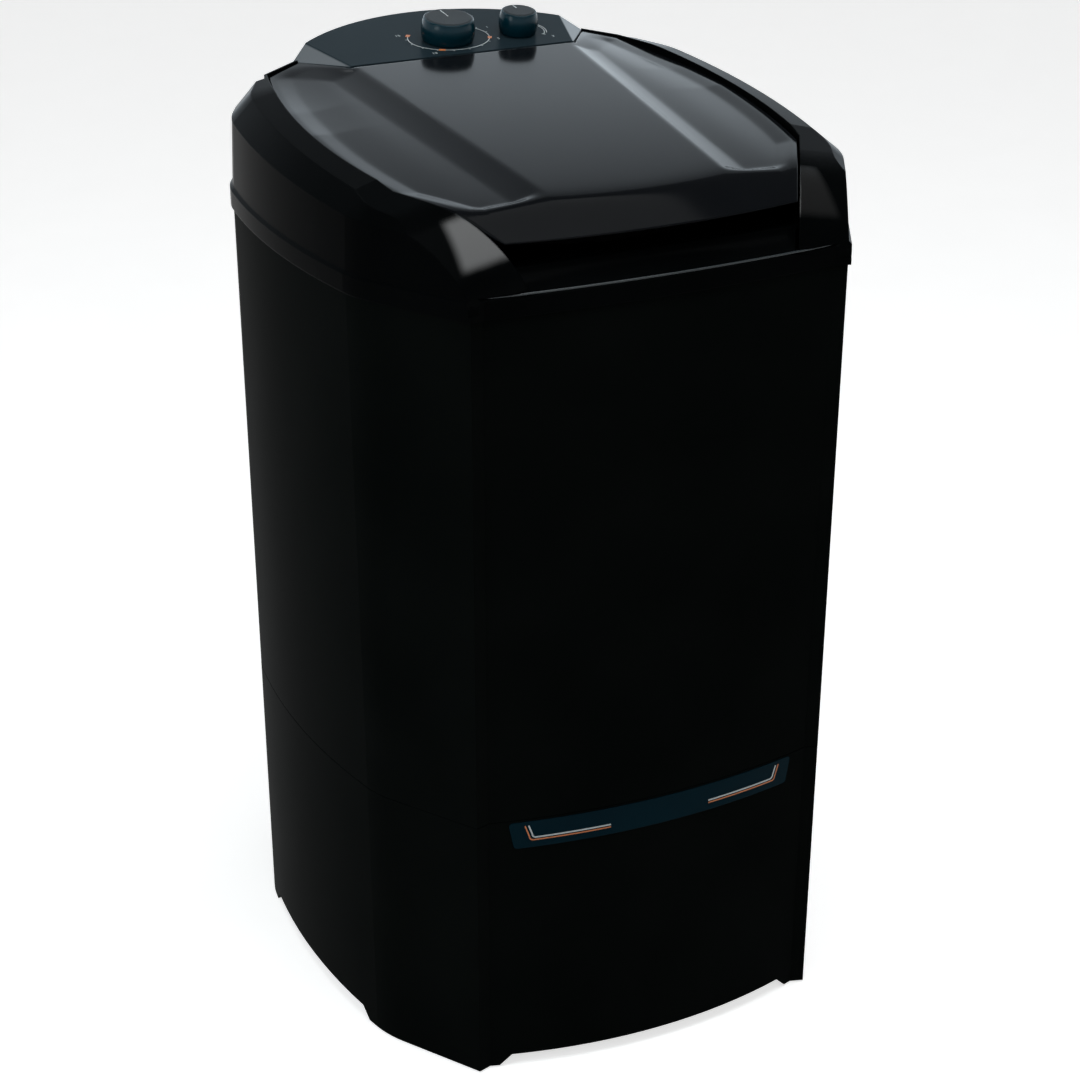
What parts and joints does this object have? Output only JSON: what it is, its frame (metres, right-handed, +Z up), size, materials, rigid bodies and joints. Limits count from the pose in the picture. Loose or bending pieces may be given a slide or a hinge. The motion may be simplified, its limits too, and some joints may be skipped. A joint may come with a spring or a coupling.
{
  "type": "semi-automatic washing machine",
  "caption": "Upright tub washing machine: drafted faceted cabinet, hinged pocketed lid, rear console with timer and selector knobs, belt-driven pulsator.",
  "frame": {"origin": "centre of the bounding box on the floor, under the tub's axis", "axes": "+Z up, -Y towards the front where the lid opens, +X to the right of a person facing the front"},
  "size_m": [0.5742, 0.6056, 0.9998],
  "materials": {
    "cabinet_black": "glossy moulded polypropylene",
    "lid_black": "high-gloss moulded plastic",
    "console_slate": "satin-gloss moulded plastic",
    "knob_teal": "glossy dark teal plastic",
    "knob_cap_grey": "satin dark grey plastic",
    "badge_navy": "glossy inlay with printed pinstripes",
    "tub_grey": "smooth light grey polypropylene",
    "pulsator_white": "smooth white polypropylene",
    "drain_plastic": "plain dark grey plastic",
    "rubber_black": "moulded black rubber",
    "zinc_steel": "zinc-plated steel",
    "bracket_paint": "dark paint",
    "cast_alloy": "die-cast",
    "bush_bronze": "sintered bronze"
  },
  "bodies": {
    "machine": {"base_skirt": "cabinet_black", "foot_pads": "rubber_black", "badge_strip": "badge_navy", "cabinet_shell": "cabinet_black", "cabinet_screws": "zinc_steel", "rear_cover": "cabinet_black", "rear_cover_screws": "zinc_steel", "cord_gland": "drain_plastic", "chassis_plate": "zinc_steel", "chassis_screws": "zinc_steel", "bearing_housing": "cast_alloy", "housing_screws": "zinc_steel", "upper_bush": "bush_bronze", "lower_bush": "bush_bronze", "shaft_seal": "rubber_black", "wash_tub": "tub_grey", "drain_pipe": "drain_plastic", "motor_body": "bracket_paint", "motor_mounts": "rubber_black", "motor_screws": "zinc_steel", "drive_belt": "rubber_black", "capacitor": "cast_alloy", "capacitor_clip": "drain_plastic", "top_cover": "cabinet_black", "hinge_brackets": "bracket_paint", "hinge_pins": "zinc_steel", "console_panel": "console_slate", "console_screws": "zinc_steel", "timer_unit": "drain_plastic", "selector_switch": "drain_plastic"},
    "lid": {"lid": "lid_black", "lid_bumpers": "rubber_black"},
    "timer": {"timer_knob": "knob_teal", "timer_cap": "knob_cap_grey", "timer_shaft": "zinc_steel"},
    "selector": {"selector_knob": "knob_teal", "selector_cap": "knob_cap_grey", "selector_shaft": "zinc_steel"},
    "agitator": {"pulsator": "pulsator_white", "pulsator_screw": "zinc_steel", "pulsator_shaft": "zinc_steel", "driven_pulley": "cast_alloy", "pulley_nut": "zinc_steel"},
    "motor_rotor": {"motor_shaft": "zinc_steel", "motor_pulley": "cast_alloy"}
  },
  "joints": [
    {"name": "lid_hinge", "type": "hinge", "parent": "machine", "child": "lid", "pos_m": [0, 0.154, 0.9525], "axis": [-1, 0, 0], "range_deg": [0, 100]},
    {"name": "timer_turn", "type": "hinge", "parent": "machine", "child": "timer", "pos_m": [0, 0.212, 0.97093], "axis": [0, -0.1392, 0.9903], "range_deg": [-300, 0]},
    {"name": "selector_turn", "type": "hinge", "parent": "machine", "child": "selector", "pos_m": [0.083, 0.21, 0.97065], "axis": [0, -0.1392, 0.9903], "range_deg": [-90, 90]},
    {"name": "pulsator_spin", "type": "hinge", "parent": "machine", "child": "agitator", "pos_m": [0, 0, 0.3], "axis": [0, 0, 1], "continuous": true},
    {"name": "motor_spin", "type": "hinge", "parent": "machine", "child": "motor_rotor", "pos_m": [0, 0.168, 0.2], "axis": [0, 0, 1], "continuous": true}
  ],
  "couplings": [
    {"joint": "motor_spin", "follows": "pulsator_spin", "ratio": 4.7306}
  ]
}
